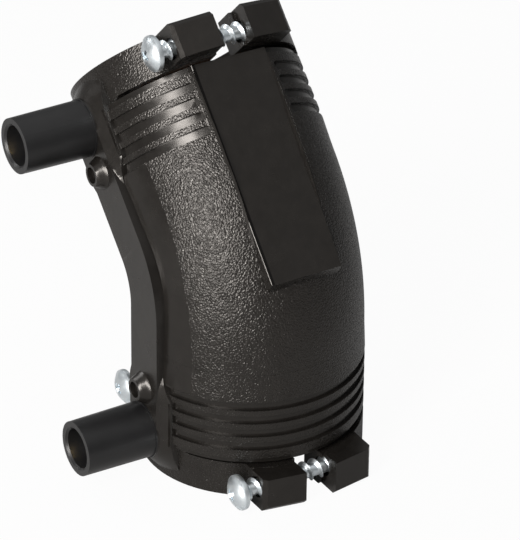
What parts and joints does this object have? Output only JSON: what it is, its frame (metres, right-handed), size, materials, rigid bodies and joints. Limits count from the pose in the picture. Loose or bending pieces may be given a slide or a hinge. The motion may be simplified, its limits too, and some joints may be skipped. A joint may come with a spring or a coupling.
{
  "type": "electrofusion pipe elbow",
  "caption": "Electrofusion elbow for polyethylene pipe: a 45 degree bend between two sockets with built-in screw clamps, terminal shrouds and fusion indicators.",
  "frame": {"origin": "centre of the lower socket's mouth", "axes": "+Z into the lower socket along its axis, +X to the outside of the bend, -Y to the terminals; the upper socket leans 45 degrees toward -X"},
  "size_m": [0.0917, 0.0752, 0.1099],
  "materials": {
    "shell": "spark-eroded grain on the body, smooth on the ridge, grooves and label face",
    "shroud": "smooth",
    "indicator": "smooth",
    "contact": "turned",
    "wire": "drawn wire",
    "screw": "bright zinc plate"
  },
  "bodies": {
    "elbow": {"body": "shell", "lower_terminal_shroud": "shroud", "upper_terminal_shroud": "shroud", "lower_contact_pin": "contact", "upper_contact_pin": "contact", "lower_heating_coil": "wire", "upper_heating_coil": "wire", "link_wire": "wire"},
    "lower_outer_clamp_screw": {"lower_outer_clamp_screw": "screw"},
    "lower_inner_clamp_screw": {"lower_inner_clamp_screw": "screw"},
    "upper_outer_clamp_screw": {"upper_outer_clamp_screw": "screw"},
    "upper_inner_clamp_screw": {"upper_inner_clamp_screw": "screw"},
    "lower_fusion_indicator": {"lower_fusion_indicator": "indicator"},
    "upper_fusion_indicator": {"upper_fusion_indicator": "indicator"}
  },
  "joints": [
    {"name": "lower_outer_clamp_screw_drive", "type": "slide", "parent": "elbow", "child": "lower_outer_clamp_screw", "axis": [0, 1, 0], "range_m": [0, 0.004]},
    {"name": "lower_inner_clamp_screw_drive", "type": "slide", "parent": "elbow", "child": "lower_inner_clamp_screw", "axis": [0, 1, 0], "range_m": [0, 0.004]},
    {"name": "upper_outer_clamp_screw_drive", "type": "slide", "parent": "elbow", "child": "upper_outer_clamp_screw", "axis": [0, 1, 0], "range_m": [0, 0.004]},
    {"name": "upper_inner_clamp_screw_drive", "type": "slide", "parent": "elbow", "child": "upper_inner_clamp_screw", "axis": [0, 1, 0], "range_m": [0, 0.004]},
    {"name": "lower_fusion_indicator_rise", "type": "slide", "parent": "elbow", "child": "lower_fusion_indicator", "axis": [0, -1, 0], "range_m": [0, 0.0025]},
    {"name": "upper_fusion_indicator_rise", "type": "slide", "parent": "elbow", "child": "upper_fusion_indicator", "axis": [0, -1, 0], "range_m": [0, 0.0025]}
  ]
}
